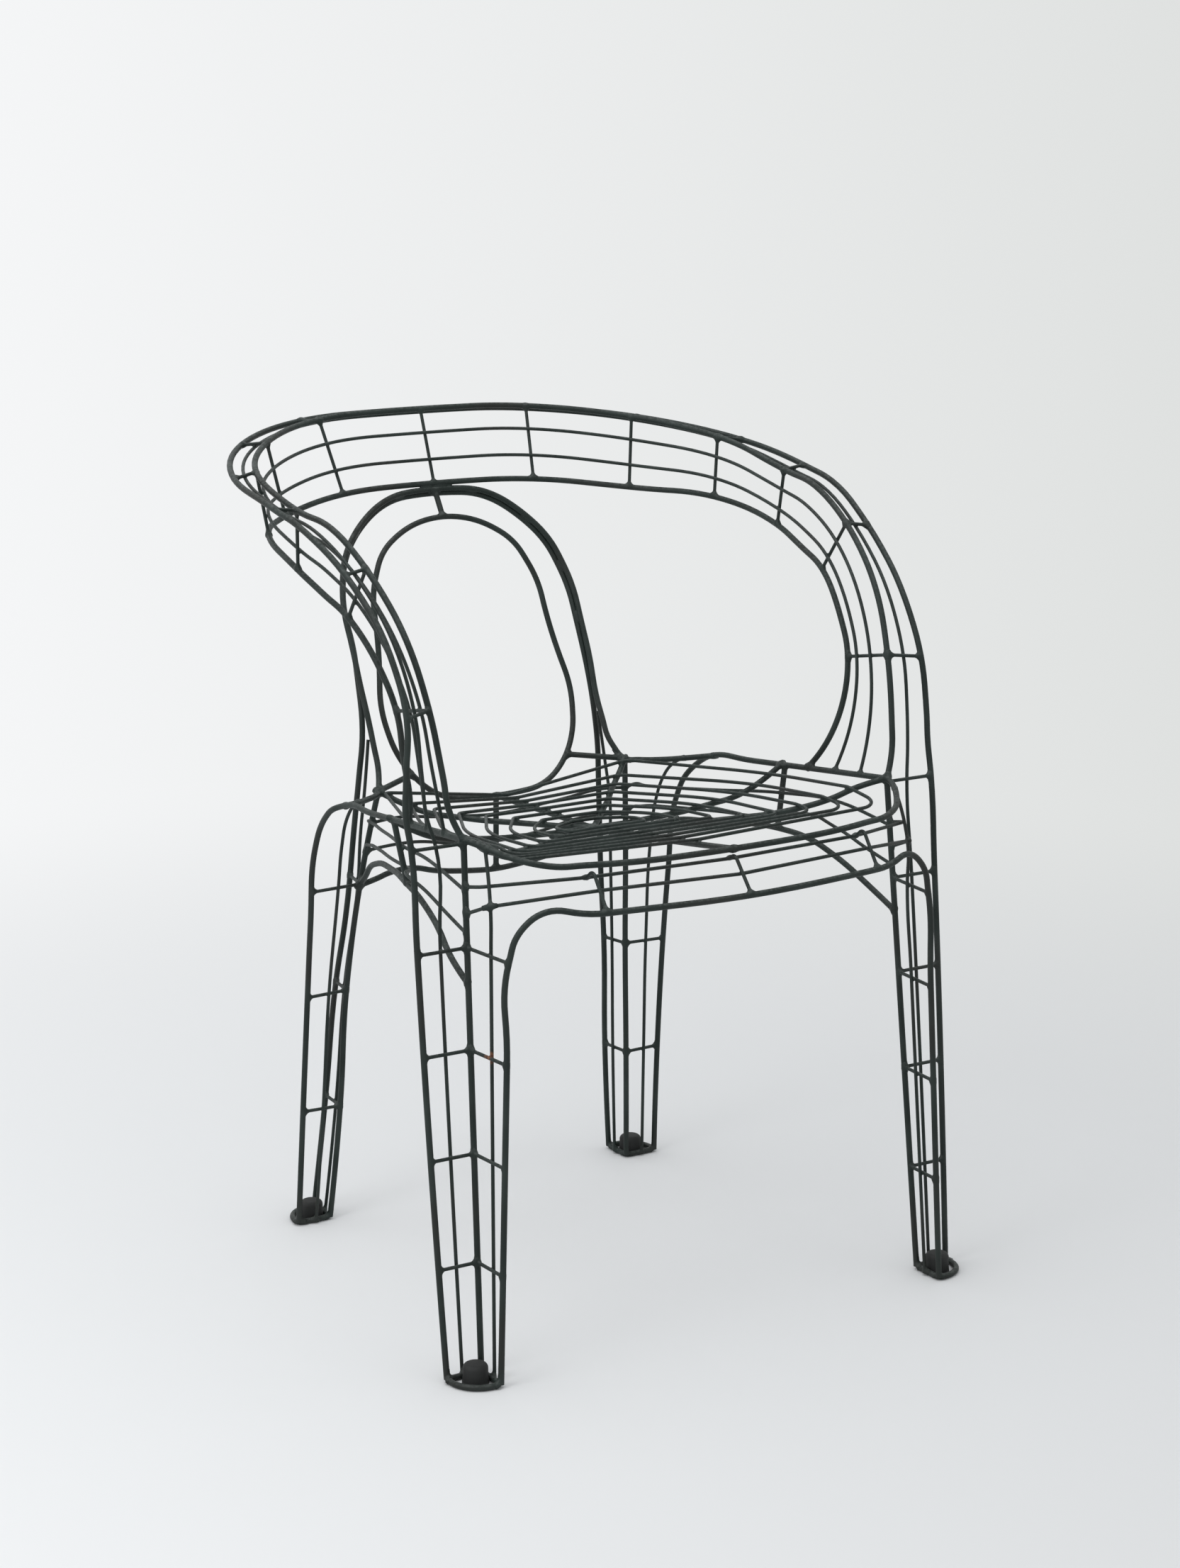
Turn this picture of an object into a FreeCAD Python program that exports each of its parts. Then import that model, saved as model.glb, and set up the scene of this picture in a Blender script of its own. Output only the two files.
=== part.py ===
import FreeCAD, Part
import math
import os

V = FreeCAD.Vector

# Wire mesh armchair of welded round rod. Millimetres, +Z up, +Y to the back of
# the chair, floor at zero. The +X half is written down, the other half mirrors it.

# Rods
THICK = 5.5
THIN = 3.2
LAY_GAP = 0.15
THIN_ON_THICK = (THICK + THIN) / 2 + LAY_GAP
THIN_ON_THIN = THIN + LAY_GAP
THICK_ON_THICK = THICK + LAY_GAP

# Smallest offcut that is kept when a rod end is coped, and smallest bow of an arc
SMALLEST_PIECE = 40.0
SMALLEST_BOW = 0.0005

# Feet
FOOT_RING_HEIGHT = 3.0
FOOT_BEND_RADIUS = 5.5
PLUG_DIAMETER = 21.0
PLUG_HEIGHT = 19.0
PLUG_EDGE = 1.5

# Front legs: two flanges of rods that meet at a right angle on the corner post
FRONT_FOOT_X = 235.0
FRONT_FOOT_Y = -243.0
SEAT_FRONT_X = 222.5
SEAT_FRONT_Y = -198.0
SEAT_FRONT_HEIGHT = 464.0
FRONT_FLANGE_AT_FOOT = 34.0
SIDE_FLANGE_AT_SEAT = 50.5
SIDE_FLANGE_BELLY = 1.6
FACE_FLANGE_AT_TOP_BAR = 60.5
FACE_LEAN_AT_TOP_BAR = -5.5
FRONT_BAR_LEVELS = [99.0, 194.0, 284.0, 372.0]
SIDE_BAR_AT_SEAT = 461.0

# Rear legs
REAR_FOOT_X = 171.0
REAR_FOOT_Y = 164.0
SEAT_REAR_X = 137.0
SEAT_REAR_Y = 115.0
SEAT_REAR_HEIGHT = 434.0
REAR_FLANGE_AT_FOOT = 34.0
REAR_BAR_LEVELS = [118.0, 235.0, 342.0]

# Seat
SEAT_CENTRE_Y = -47.0
SEAT_DISH_HEIGHT = 415.0
SPOKE_DROP = 0.5
END_INSET = 1.0
SPOKE_START = 2.0
FRONT_BAR_X = 140.5

# Seat rings from the outer one to the inner one: where they cross the spokes of the
# seat, how far they reach to the front and to the back, and how their corners bend
RINGS_ON_FRONT_SPOKE_X = [195.0, 177.0, 157.0, 135.0, 112.0, 89.5, 65.0, 40.0]
RINGS_ON_CROSS_BAR_X = [193.0, 177.0, 157.0, 135.0, 113.0, 90.0, 67.0, 44.0]
RINGS_FRONT_Y = [-222.0, -196.0, -174.0, -152.0, -131.0, -111.0, -92.0, -74.0]
RINGS_REAR_Y = [108.0, 92.0, 74.0, 55.0, 34.0, 13.0, -9.0, -31.0]
FRONT_CORNER_RADII = (20.0, 7.0)
REAR_CORNER_RADII = (13.0, 5.0)
RING_SIDE_RADII = (300.0, 20.0)
RING_MIDDLE_RADIUS = 60.0
RING_CORNER_OUTWARDS = (4.0, 1.0)
REAR_CORNER_OUTWARDS = (5.0, 1.0)
RING_CORNER_SAG = 0.55

# Hoop round the back and the arms
HOOP_HEIGHT = 770.0
HOOP_STEP = 3.0
HOOP_BACK_Y = 274.0
HOOP_BACK_WIDTH = 25.0
LOWER_HOOP_HEIGHT = 700.0
LOWER_HOOP_Y = 248.0

# Where the strands of the arm meet the side rail
LOWER_ROD_END_Y = -85.0
INNER_STRAND_END_Y = -160.0
OUTER_STRAND_END_Y = -124.0
BACK_SHARES = [0.33, 0.69]
ARM_SHARES = [0.36, 0.70]

# Corners of the frame
FRONT_NODE = V(SEAT_FRONT_X, SEAT_FRONT_Y, SEAT_FRONT_HEIGHT)
FRONT_FOOT = V(FRONT_FOOT_X, FRONT_FOOT_Y, FOOT_RING_HEIGHT)
REAR_NODE = V(SEAT_REAR_X, SEAT_REAR_Y, SEAT_REAR_HEIGHT)
REAR_FOOT = V(REAR_FOOT_X, REAR_FOOT_Y, FOOT_RING_HEIGHT)
SEAT_CENTRE = V(0, SEAT_CENTRE_Y, SEAT_DISH_HEIGHT)

# Rows across the hoop, each with its points on the inner, outer and lower rod
BACK_ROW = (V(0, HOOP_BACK_Y, HOOP_HEIGHT),
            V(0, HOOP_BACK_Y + HOOP_BACK_WIDTH, HOOP_HEIGHT - HOOP_STEP),
            V(0, LOWER_HOOP_Y, LOWER_HOOP_HEIGHT))
BAR_ROWS = [(V(115, 266, 767), V(123, 290, 764), V(106, 236, 698)),
            (V(201, 205, 757), V(219, 222.5, 754), V(190, 191.5, 689)),
            (V(251, 126, 742), V(276, 120, 738), V(243, 119, 684)),
            (V(261, 26, 720), V(284, 26, 723), V(258, 32, 666)),
            (V(253, -87, 683), V(275, -91, 680), V(252, -51, 635)),
            (V(240, -172, 573), V(268.5, -185, 571), V(239, -112, 562))]
ARM_ROW = (V(257, -31, 711), V(283, -22, 713), V(256, -8, 652))
BEND_ROW = (V(245, -150, 621), V(269, -158, 621), V(245, -88, 602))
LOW_ROWS = [(V(235.5, -186, 520), V(272.5, -190, 520), V(232.5, -113, 516)),
            (V(232, -192, 487), V(274, -191, 492), V(224, -106, 485.5))]
ROWS = BAR_ROWS[:4] + [ARM_ROW, BAR_ROWS[4], BEND_ROW, BAR_ROWS[5]] + LOW_ROWS
INNER = 0
OUTER = 1
LOWER = 2

# Backrest arch, its shoulders down to the rails, and the loop inside it
ARCH_TOP = V(0, 247, 694.4)
ARCH_HEAD = [V(62, 241, 685.5), V(90, 233, 667), V(113.5, 219.5, 640), V(124, 206, 612), V(128, 173, 544)]
ARCH_SIDE = [V(127, 144, 477), V(129.5, 128, 448)]
SHOULDER = [V(147, 101, 434), V(165, 86, 435), V(185, 68, 438)]
SHOULDER_END_Y = 56.0
ARCH_BACKWARDS = V(0, 1, -0.52).normalize()
ARCH_CENTRE = V(0, 203, 600)
ARCH_TUCK = 2.7
LOOP_TOP = V(0, 231, 669)
LOOP_SIDE = [V(49, 226.5, 657.5), V(72, 220, 641), V(86, 211, 617), V(96.5, 187, 554), V(104, 160, 485),
             V(98, 150, 460), V(86, 142, 439), V(71.5, 137, 424.5)]
LOOP_BOTTOM = V(0, 131, 410)

# Rear legs: outer edge up to the side rail, back edge up behind the arch, corner post
REAR_OUTER_EDGE = [V(202.6, 155, 118), V(201.3, 143, 237), V(201.2, 135, 302), V(201.6, 121, 385)]
RAIL_BEND = [V(202.4, 108, 408), V(204, 92, 423), V(205, 80, 431)]
RAIL_START = V(202.5, 57.5, 440)
REAR_BACK_EDGE = [V(161, 189.5, 113), V(152.6, 178.5, 235), V(144.5, 171, 302), V(136.5, 163, 403),
                  V(133.5, 160, 440), V(129.5, 160, 475)]
REAR_POST = [V(163.5, 153, 118), V(158, 146.5, 235), V(149, 132, 342)]

# Front apron
FRONT_ARCH_SIDE = [V(212.7, -270, 395), V(202.4, -273, 407)]
FRONT_ARCH_MIDDLE = V(0, -305, 409)
FRONT_ARCH_AT_BAR = V(FRONT_BAR_X, -296.5, 411)
RIM_SIDE = [V(214.5, -220, 461), V(204.5, -237, 456), V(190, -254, 451.5), V(175, -263, 448.6)]
RIM_AT_BAR = V(FRONT_BAR_X, -272, 447.3)
RIM_MIDDLE = V(0, -277, 444)
UPPER_APRON_HEIGHT = 424.0
UPPER_APRON_CORNER = V(222, -226, 429)
UPPER_APRON_AT_BAR = V(FRONT_BAR_X, -263.5, 434.5)
UPPER_APRON_MIDDLE = V(0, -271, 434)
LOWER_APRON_HEIGHT = 401.0
LOWER_APRON_CORNER = V(222, -236.5, 414)
APRON_CORNER_RADIUS = 9.0
APRON_BEND_RADIUS = 60.0
LOWER_APRON_SHARE = 0.44

# Side aprons, from the rear post to the front post
SIDE_ARCH_REAR_HEIGHT = 342.0
SIDE_ARCH_REAR = [V(151, 118, 352), V(155, 100, 366), V(162, 71, 377), V(178, 12, 386)]
SIDE_BAR_TOP_Y = -52.8
SIDE_ARCH_AT_BAR = V(200.5, -57, 391)
SIDE_ARCH_FRONT = [V(209, -95, 388), V(215, -132, 377), V(224, -182, 353)]
SIDE_ARCH_FRONT_HEIGHT = 341.0
UPPER_SIDE_HEIGHTS = [402.0, 425.0, 420.5]
UPPER_SIDE_REAR = [V(146, 117.5, 405.5), V(152, 96, 408), V(162, 65, 411), V(176, 21, 416)]
UPPER_SIDE_FRONT = [V(216.6, -129, 429.6), V(222.6, -187, 423)]
LOWER_SIDE_HEIGHTS = [373.0, 403.0, 384.0]
LOWER_SIDE_REAR = [V(148, 121, 381), V(152, 105, 386), V(162, 68, 391), V(175, 24, 395)]
LOWER_SIDE_FRONT = [V(214, -79, 408), V(220, -130, 402), V(222.4, -170, 392)]

# Rear apron, between the rear posts
REAR_APRON_Y = 132.0
REAR_ARCH_MIDDLE_HEIGHT = 337.0
REAR_ARCH_SIDE = [V(35, 132, 339.5), V(64, 132, 343.5), V(94, 132, 350), V(117, 132, 348.7), V(132, 132, 344.6)]
REAR_ARCH_END_HEIGHT = 340.7
LOW_REAR_APRON_HEIGHTS = [366.0, 375.0]
LOW_REAR_APRON = [V(43, 127, 369), V(97, 127, 377), V(116, 127, 377)]
HIGH_REAR_APRON_HEIGHTS = [393.0, 402.7]
HIGH_REAR_APRON = [V(60, 125, 398), V(121, 121, 404.5)]

# Bars and spokes of the seat, from the middle outwards
CROSS_BAR = [V(32, -47, 414.8), V(63.5, -47, 416), V(109, -47, 418.7), V(132, -47, 421.4),
             V(153.5, -47, 424), V(174, -47, 430), V(186, -47, 435.5), V(198, -47, 442)]
LENGTH_BAR_REAR = [V(0, 77, 411.5), V(0, 31, 413)]
LENGTH_BAR_FRONT = [V(0, -130, 424), V(0, -221, 436)]
FRONT_SPOKE = [V(54, -83, 418), V(107, -116, 424), V(148, -139, 430), V(183, -165, 443), V(202, -181, 455)]
REAR_SPOKE = [V(39, 2, 413.5), V(78, 51, 413.5), V(109, 89, 418), V(121, 100, 424)]

SHAPES = {}


def mirrored(point):
    return V(-point.x, point.y, point.z)


def both_sides(middle, right_side):
    """Points of a rod over the middle of the chair, from its left end to its right end."""
    left_side = [mirrored(point) for point in reversed(right_side)]
    return left_side + [middle] + right_side


def between(first, second, share):
    return first + (second - first) * share


def unit(vector):
    return V(vector).normalize()


def at_value(points, axis, value):
    """Point of a rod where one coordinate has a value. The rod runs one way along that axis."""
    for first, second in zip(points, points[1:]):
        low = getattr(first, axis)
        high = getattr(second, axis)
        if min(low, high) <= value <= max(low, high) and low != high:
            return between(first, second, (value - low) / (high - low))
    return V(points[-1])


def tangent_between(before, after):
    return unit(before * (1 / before.Length ** 2) + after * (1 / after.Length ** 2))


def tangents_of(points):
    """Direction of a smooth rod at each of its points. It may end where it starts."""
    legs = [second - first for first, second in zip(points, points[1:])]
    inner = [tangent_between(before, after) for before, after in zip(legs, legs[1:])]
    if (points[-1] - points[0]).Length < SMALLEST_BOW:
        closing = tangent_between(legs[-1], legs[0])
        return [closing] + inner + [closing]
    start = unit(unit(legs[0]) * 2 - inner[0])
    end = unit(unit(legs[-1]) * 2 - inner[-1])
    return [start] + inner + [end]


def arc_edge(start, corner, end):
    """Arc whose end tangents meet in a corner that is as far from the start as from the end."""
    chord = end - start
    weight = chord.Length / (corner - start).Length
    middle = (start + corner * weight + end) * (1 / (2 + weight))
    if (middle - between(start, end, 0.5)).Length < chord.Length * SMALLEST_BOW:
        return Part.LineSegment(start, end).toShape()
    return Part.Arc(start, middle, end).toShape()


def smooth_path(points):
    """Wire of tangent arcs through the points, two arcs from each point to the next."""
    tangents = tangents_of(points)
    edges = []
    for start, end, leaving, arriving in zip(points, points[1:], tangents, tangents[1:]):
        chord = end - start
        along = chord.dot(leaving + arriving)
        turn = 2 * (1 - leaving.dot(arriving))
        length = chord.dot(chord)
        reach = length / (along + math.sqrt(along ** 2 + turn * length))
        first_corner = start + leaving * reach
        second_corner = end - arriving * reach
        joint = between(first_corner, second_corner, 0.5)
        edges.append(arc_edge(start, first_corner, joint))
        edges.append(arc_edge(joint, second_corner, end))
    return Part.Wire(edges)


def bent_path(points, radii, closed=False):
    """Wire of straight runs joined by arcs, with a radius for each corner."""
    count = len(points)
    corners = range(count) if closed else range(1, count - 1)
    edges = []
    start = None if closed else points[0]
    first = None
    for index, radius in zip(corners, radii):
        corner = points[index]
        back = unit(points[index - 1] - corner)
        ahead = unit(points[(index + 1) % count] - corner)
        half_angle = back.getAngle(ahead) / 2
        reach = radius / math.tan(half_angle)
        arrival = corner + back * reach
        departure = corner + ahead * reach
        if start is None:
            first = arrival
        else:
            edges.append(Part.LineSegment(start, arrival).toShape())
        middle = corner + unit(back + ahead) * (radius / math.sin(half_angle) - radius)
        edges.append(Part.Arc(arrival, middle, departure).toShape())
        start = departure
    edges.append(Part.LineSegment(start, first if closed else points[-1]).toShape())
    return Part.Wire(edges)


def rod(path, diameter):
    """Round rod along a wire."""
    edge = path.Edges[0]
    start = edge.valueAt(edge.FirstParameter)
    along = edge.tangentAt(edge.FirstParameter)
    section = Part.Wire([Part.makeCircle(diameter / 2, start, along)])
    return path.makePipeShell([section], True, False)


def smooth_rod(points, diameter):
    return rod(smooth_path(points), diameter)


def straight_rod(start, end, diameter):
    return Part.makeCylinder(diameter / 2, (end - start).Length, start, end - start)


def trimmed(shape, neighbours):
    """Pieces of a shape that are left when it is coped to its neighbours, without offcuts."""
    pieces = [shape]
    for other in neighbours:
        kept = []
        for piece in pieces:
            if piece.BoundBox.intersect(other.BoundBox) and piece.distToShape(other)[0] < LAY_GAP / 2:
                kept.extend(part for part in piece.cut(other).Solids if part.Volume > SMALLEST_PIECE)
            else:
                kept.append(piece)
        pieces = kept
    return pieces


def add(name, shapes, *carriers):
    """Stores a node. Its shapes are coped to the nodes named as carriers."""
    neighbours = [solid for carrier in carriers for solid in SHAPES[carrier].Solids]
    pieces = []
    for shape in shapes:
        pieces.extend(trimmed(shape, neighbours))
    SHAPES[name] = Part.makeCompound(pieces) if len(pieces) > 1 else pieces[0]


def add_pair(name, shapes, *carriers):
    """Stores a node on the right and its mirror image on the left."""
    right = name + "_right"
    add(right, shapes, *carriers)
    SHAPES[name + "_left"] = SHAPES[right].mirror(V(0, 0, 0), V(1, 0, 0))


def add_both(name, shapes, *carriers):
    """Stores shapes of the right half and their mirror images as one node."""
    neighbours = [solid for carrier in carriers for solid in SHAPES[carrier].Solids]
    pieces = []
    for shape in shapes:
        for piece in trimmed(shape, neighbours):
            pieces.append(piece)
            pieces.append(piece.mirror(V(0, 0, 0), V(1, 0, 0)))
    SHAPES[name] = Part.makeCompound(pieces)


def front_post_at(height):
    return at_value([FRONT_FOOT, FRONT_NODE], "z", height)


def side_edge_at(height):
    """Edge rod of the front leg's flange that faces the front and stands out to the side."""
    share = (height - FOOT_RING_HEIGHT) / (SEAT_FRONT_HEIGHT - FOOT_RING_HEIGHT)
    width = FRONT_FLANGE_AT_FOOT + (SIDE_FLANGE_AT_SEAT - FRONT_FLANGE_AT_FOOT) * share
    belly = SIDE_FLANGE_BELLY * math.sin(math.pi * share)
    return front_post_at(height) + V(width + belly, 0, 0)


def face_edge_at(height):
    """Edge rod of the front leg's flange that faces the side and stands out to the front."""
    share = (height - FOOT_RING_HEIGHT) / (FRONT_BAR_LEVELS[-1] - FOOT_RING_HEIGHT)
    width = FRONT_FLANGE_AT_FOOT + (FACE_FLANGE_AT_TOP_BAR - FRONT_FLANGE_AT_FOOT) * share
    return front_post_at(height) + V(FACE_LEAN_AT_TOP_BAR * share, -width, 0)


def rear_post_points():
    return [REAR_FOOT] + REAR_POST + [REAR_NODE]


def outer_edge_points():
    return [REAR_FOOT + V(REAR_FLANGE_AT_FOOT, 0, 0)] + REAR_OUTER_EDGE


def back_edge_points():
    return [REAR_FOOT + V(0, REAR_FLANGE_AT_FOOT, 0)] + REAR_BACK_EDGE


def on_rail(y):
    return at_value([RAIL_START, FRONT_NODE], "y", y)


def rail_points():
    run = [between(RAIL_START, FRONT_NODE, step / 4) for step in range(1, 5)]
    return outer_edge_points() + RAIL_BEND + [RAIL_START] + run


def foot_ring(post, outward, to_face, flange):
    """Ring at the bottom of a leg: along both flanges and round the outside."""
    side = V(outward * flange, 0, 0)
    face = V(0, to_face * flange, 0)
    corners = [post, post + side, post + side + face, post + face]
    round_outside = flange - FOOT_BEND_RADIUS - PLUG_EDGE
    radii = [FOOT_BEND_RADIUS, FOOT_BEND_RADIUS, round_outside, FOOT_BEND_RADIUS]
    return rod(bent_path(corners, radii, closed=True), THICK)


def foot_plug(post, outward, to_face):
    """Rubber plug inside a foot ring, against both of its straight runs."""
    inset = (PLUG_DIAMETER + THICK) / 2 + LAY_GAP
    plug = Part.makeCylinder(PLUG_DIAMETER / 2, PLUG_HEIGHT, V(post.x + outward * inset, post.y + to_face * inset, 0))
    rims = [edge for edge in plug.Edges if len(edge.Vertexes) == 1]
    return plug.makeFillet(PLUG_EDGE, rims)


def build_feet():
    add_pair("foot_ring_front", [foot_ring(FRONT_FOOT, 1, -1, FRONT_FLANGE_AT_FOOT)])
    add_pair("foot_ring_rear", [foot_ring(REAR_FOOT, 1, 1, REAR_FLANGE_AT_FOOT)])
    add_pair("foot_plug_front", [foot_plug(FRONT_FOOT, 1, -1)])
    add_pair("foot_plug_rear", [foot_plug(REAR_FOOT, 1, 1)])


def behind_arch(point):
    """Place of the rear rod of the double arch, behind a point of its front rod and a little inside it."""
    inwards = unit(ARCH_CENTRE - point)
    backwards = math.sqrt(THICK_ON_THICK ** 2 - ARCH_TUCK ** 2)
    return point + ARCH_BACKWARDS * backwards + inwards * ARCH_TUCK


def build_frame():
    """Thick rods that carry the load: leg edges, hoops, arches, posts and rails."""
    front_feet = ["foot_ring_front_right", "foot_ring_front_left"]
    rear_feet = ["foot_ring_rear_right", "foot_ring_rear_left"]
    levels = [SIDE_BAR_AT_SEAT] + FRONT_BAR_LEVELS[::-1] + [FOOT_RING_HEIGHT]
    outer = [row[OUTER] for row in ROWS] + [side_edge_at(level) for level in levels]
    add("outer_hoop_rod", [smooth_rod(both_sides(BACK_ROW[OUTER], outer), THICK)], *front_feet)

    face = [face_edge_at(level) for level in FRONT_BAR_LEVELS[::-1] + [FOOT_RING_HEIGHT]]
    arch = [FRONT_ARCH_AT_BAR] + FRONT_ARCH_SIDE[::-1] + face
    add("front_arch_rod", [smooth_rod(both_sides(FRONT_ARCH_MIDDLE, arch), THICK)], *front_feet)

    back = [behind_arch(point) for point in ARCH_HEAD] + back_edge_points()[::-1]
    add("rear_leg_arch_rod", [smooth_rod(both_sides(behind_arch(ARCH_TOP), back), THICK)], *rear_feet)

    add_pair("side_rail", [smooth_rod(rail_points(), THICK)], rear_feet[0])
    add_pair("rear_post", [smooth_rod(rear_post_points(), THICK)], rear_feet[0])
    add_pair("front_post", [straight_rod(FRONT_FOOT, FRONT_NODE, THICK)], front_feet[0], "side_rail_right")

    arch = ARCH_HEAD + ARCH_SIDE + [REAR_NODE] + SHOULDER + [on_rail(SHOULDER_END_Y)]
    add("back_arch_rod", [smooth_rod(both_sides(ARCH_TOP, arch), THICK)], "rear_post_right",
        "rear_post_left", "side_rail_right", "side_rail_left")

    inner = [row[INNER] for row in ROWS] + [FRONT_NODE]
    add("inner_hoop_rod", [smooth_rod(both_sides(BACK_ROW[INNER], inner), THICK)], "front_post_right",
        "front_post_left", "side_rail_right", "side_rail_left")

    lower = [row[LOWER] for row in ROWS] + [on_rail(LOWER_ROD_END_Y)]
    add("lower_hoop_rod", [smooth_rod(both_sides(BACK_ROW[LOWER], lower), THICK)], "side_rail_right",
        "side_rail_left")

    rim = [RIM_AT_BAR] + RIM_SIDE[::-1] + [FRONT_NODE]
    add("front_rim_rod", [smooth_rod(both_sides(RIM_MIDDLE, rim), THICK)], "front_post_right",
        "front_post_left", "side_rail_right", "side_rail_left", "inner_hoop_rod")


def build_backrest():
    add("back_loop_rod", [closed_loop()])
    top_link = straight_rod(ARCH_TOP, LOOP_TOP, THICK)
    low_link = straight_rod(REAR_NODE, LOOP_SIDE[6], THICK)
    add("back_loop_links", [top_link, low_link, low_link.mirror(V(0, 0, 0), V(1, 0, 0))],
        "back_loop_rod", "back_arch_rod", "rear_post_right", "rear_post_left")


def closed_loop():
    """Loop of the backrest: the right half and its mirror image, joined at top and bottom."""
    points = [LOOP_TOP] + LOOP_SIDE + [LOOP_BOTTOM] + [mirrored(point) for point in LOOP_SIDE[::-1]] + [LOOP_TOP]
    return smooth_rod(points, THICK)


def build_aprons():
    """Bent rods under the edge of the seat."""
    posts = ["rear_post_right", "front_post_right"]
    rear_post = rear_post_points()
    arch = [at_value(rear_post, "z", SIDE_ARCH_REAR_HEIGHT)] + SIDE_ARCH_REAR + [SIDE_ARCH_AT_BAR]
    arch = arch + SIDE_ARCH_FRONT + [front_post_at(SIDE_ARCH_FRONT_HEIGHT)]
    add_pair("side_arch", [smooth_rod(arch, THICK)], *posts)

    bar_top = on_rail(SIDE_BAR_TOP_Y)
    add_pair("side_bar", [straight_rod(bar_top, SIDE_ARCH_AT_BAR, THICK)], "side_rail_right", "side_arch_right")

    rods = []
    for heights, rear, front in [(UPPER_SIDE_HEIGHTS, UPPER_SIDE_REAR, UPPER_SIDE_FRONT),
                                 (LOWER_SIDE_HEIGHTS, LOWER_SIDE_REAR, LOWER_SIDE_FRONT)]:
        at_bar = at_value([bar_top, SIDE_ARCH_AT_BAR], "z", heights[1]) - V(THIN_ON_THICK, 0, 0)
        points = [at_value(rear_post, "z", heights[0])] + rear + [at_bar] + front + [front_post_at(heights[2])]
        rods.append(smooth_rod(points, THIN))
    add_pair("side_apron_rods", rods, "side_bar_right", *posts)

    rear = REAR_ARCH_SIDE + [at_value(rear_post, "z", REAR_ARCH_END_HEIGHT)]
    middle = V(0, REAR_APRON_Y, REAR_ARCH_MIDDLE_HEIGHT)
    rear_posts = ["rear_post_right", "rear_post_left"]
    add("rear_arch_rod", [smooth_rod(both_sides(middle, rear), THICK)], *rear_posts)
    add("rear_bar", [straight_rod(LOOP_BOTTOM, middle, THICK)], "rear_arch_rod", "back_loop_rod")

    rods = []
    for heights, side in [(LOW_REAR_APRON_HEIGHTS, LOW_REAR_APRON), (HIGH_REAR_APRON_HEIGHTS, HIGH_REAR_APRON)]:
        start = at_value([LOOP_BOTTOM, middle], "z", heights[0]) - V(0, THIN_ON_THICK, 0)
        rods.append(smooth_rod(both_sides(start, side + [at_value(rear_post, "z", heights[1])]), THIN))
    add("rear_apron_rods", rods, *rear_posts)


def front_bar_points(on_rim, on_arch, on_apron):
    """Front bar: from the upper apron rod under the rim and down to the arch."""
    bend = on_rim - V(0, THIN / 2, THIN_ON_THICK)
    return [on_apron, bend, on_arch]


def build_front_apron():
    front_posts = ["front_post_right", "front_post_left"]
    middle_bar = front_bar_points(RIM_MIDDLE, FRONT_ARCH_MIDDLE, UPPER_APRON_MIDDLE)
    side_bar = front_bar_points(RIM_AT_BAR, FRONT_ARCH_AT_BAR, UPPER_APRON_AT_BAR)

    upper = [mirrored(UPPER_APRON_AT_BAR), UPPER_APRON_MIDDLE, UPPER_APRON_AT_BAR]
    lower = [mirrored(behind_bar(side_bar)), behind_bar(middle_bar), behind_bar(side_bar)]
    rods = []
    for points, corner, height in [(upper, UPPER_APRON_CORNER, UPPER_APRON_HEIGHT),
                                   (lower, LOWER_APRON_CORNER, LOWER_APRON_HEIGHT)]:
        end = front_post_at(height)
        route = [mirrored(end), mirrored(corner)] + points + [corner, end]
        radii = [APRON_CORNER_RADIUS] + [APRON_BEND_RADIUS] * len(points) + [APRON_CORNER_RADIUS]
        rods.append(rod(bent_path(route, radii), THIN))
    add("front_apron_rods", rods, *front_posts)

    bars = [bent_path(bar, [THICK]) for bar in (middle_bar, side_bar)]
    left_bar = bent_path([mirrored(point) for point in side_bar], [THICK])
    add("front_apron_bars", [rod(bar, THIN) for bar in bars + [left_bar]], "front_apron_rods",
        "front_arch_rod", "front_rim_rod")


def behind_bar(bar):
    """Place of the lower apron rod on the inner face of a front bar."""
    down = unit(bar[2] - bar[1])
    inwards = V(0, -down.z, down.y)
    return between(bar[1], bar[2], LOWER_APRON_SHARE) + inwards * THIN_ON_THIN


def length_bar_points():
    return [LOOP_BOTTOM] + LENGTH_BAR_REAR + [SEAT_CENTRE] + LENGTH_BAR_FRONT + [RIM_MIDDLE]


def front_spoke_points():
    return [SEAT_CENTRE] + FRONT_SPOKE + [FRONT_NODE]


def rear_spoke_points():
    return [SEAT_CENTRE] + REAR_SPOKE + [REAR_NODE]


def from_length_bar(points):
    """Points of a spoke that starts inside the length bar, a little lower than the middle of it."""
    start = between(points[0], points[1], SPOKE_START / (points[1] - points[0]).Length)
    return [start - V(0, 0, SPOKE_DROP)] + points[1:]


def cross_bar_start():
    """Distance from the seat's centre at which the end of the cross bar fits between the spokes."""
    along = CROSS_BAR[0] - SEAT_CENTRE
    angle = min(along.getAngle(spoke[0] - SEAT_CENTRE) for spoke in (FRONT_SPOKE, REAR_SPOKE))
    return THICK / 2 * (1 + math.cos(angle)) / math.sin(angle) + LAY_GAP


def cross_bar_points():
    return [SEAT_CENTRE] + CROSS_BAR + [on_rail(SEAT_CENTRE_Y)]


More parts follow.
